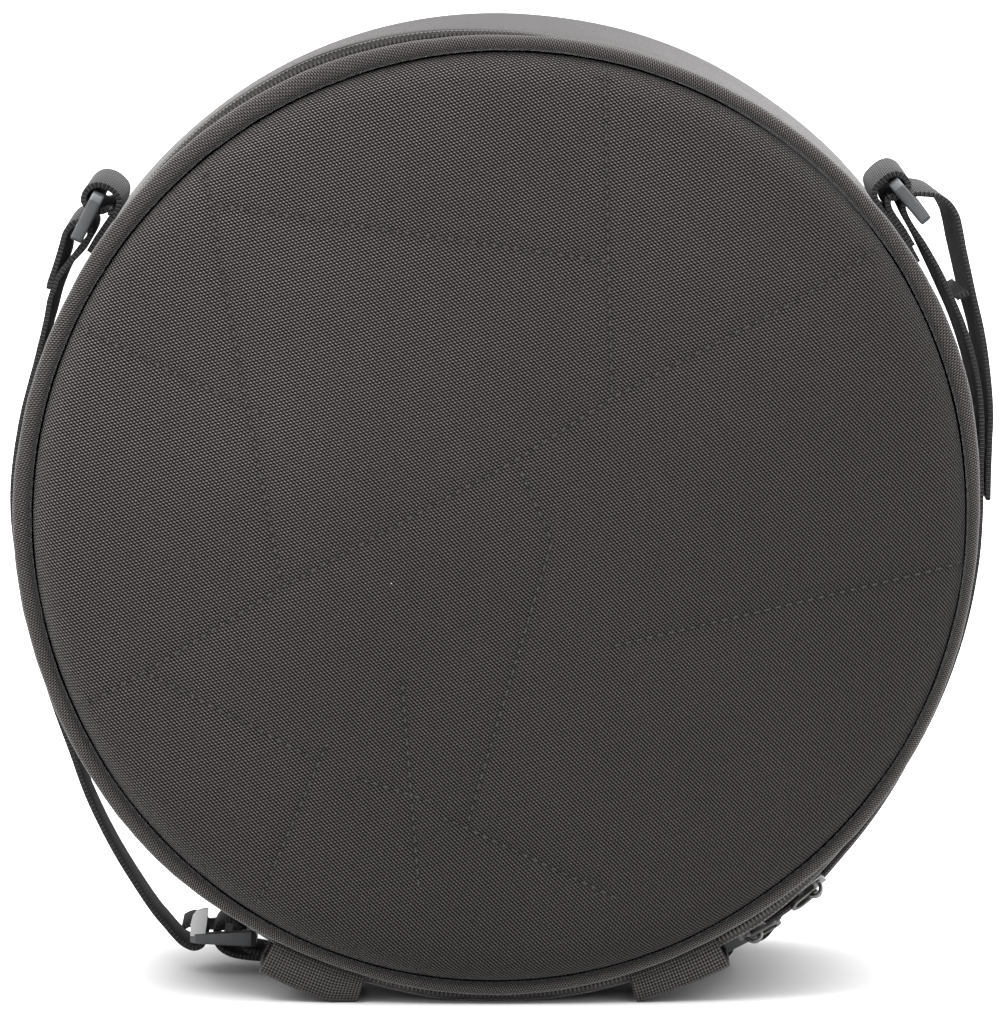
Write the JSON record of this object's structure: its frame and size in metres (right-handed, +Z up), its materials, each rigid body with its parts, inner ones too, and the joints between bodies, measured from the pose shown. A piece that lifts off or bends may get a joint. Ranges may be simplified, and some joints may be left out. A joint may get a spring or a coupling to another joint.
{
  "type": "luggage rack bag",
  "caption": "Round drum-shaped soft bag that stands on its rim, with a padded quilted face, a zipped lid, belt loops underneath and a webbing strap down either side.",
  "frame": {"origin": "on the floor, on the flattened underside of the side wall, below the middle of the drum's axis and depth", "axes": "+X to the right as seen from the padded face, +Y along the drum's axis from the face to the back, +Z up"},
  "size_m": [0.3559, 0.1575, 0.3483],
  "materials": {
    "canvas": "dark grey plain-weave canvas",
    "smooth_cloth": "dark grey fine cloth",
    "webbing": "black woven webbing",
    "zip_black": "black zip tape and nylon coil",
    "grey_plastic": "moulded grey plastic",
    "dark_metal": "dark grey plated metal"
  },
  "bodies": {
    "bag": {"front_panel": "canvas", "front_piping": "canvas", "lid_band": "smooth_cloth", "zip": "zip_black", "hinge_strip": "canvas", "zip_end_tab_right": "canvas", "zip_end_tab_left": "canvas", "body_gusset": "smooth_cloth", "back_panel": "canvas", "belt_loop_left": "canvas", "belt_loop_right": "canvas", "anchor_upper_left": "webbing", "anchor_upper_right": "webbing", "anchor_lower_left": "webbing", "anchor_lower_right": "webbing", "strap_left": "webbing", "strap_right": "webbing", "ring_upper_left": "grey_plastic", "adjuster_upper_right": "grey_plastic", "ring_lower_right": "grey_plastic", "ladder_lock_lower_left": "grey_plastic", "tail_keeper": "webbing", "zip_slider_lower": "dark_metal", "zip_slider_upper": "dark_metal"},
    "lower_pull": {"zip_pull_lower": "dark_metal"},
    "upper_pull": {"zip_pull_upper": "dark_metal"}
  },
  "joints": [
    {"name": "lower_pull_swing", "type": "hinge", "parent": "bag", "child": "lower_pull", "pos_m": [0.09166, -0.04701, 0.0205], "axis": [0.1856, 0.9311, -0.3139], "range_deg": [0, 140]},
    {"name": "upper_pull_swing", "type": "hinge", "parent": "bag", "child": "upper_pull", "pos_m": [0.11329, -0.04742, 0.03708], "axis": [-0.2788, -0.8979, 0.3406], "range_deg": [0, 140]}
  ]
}
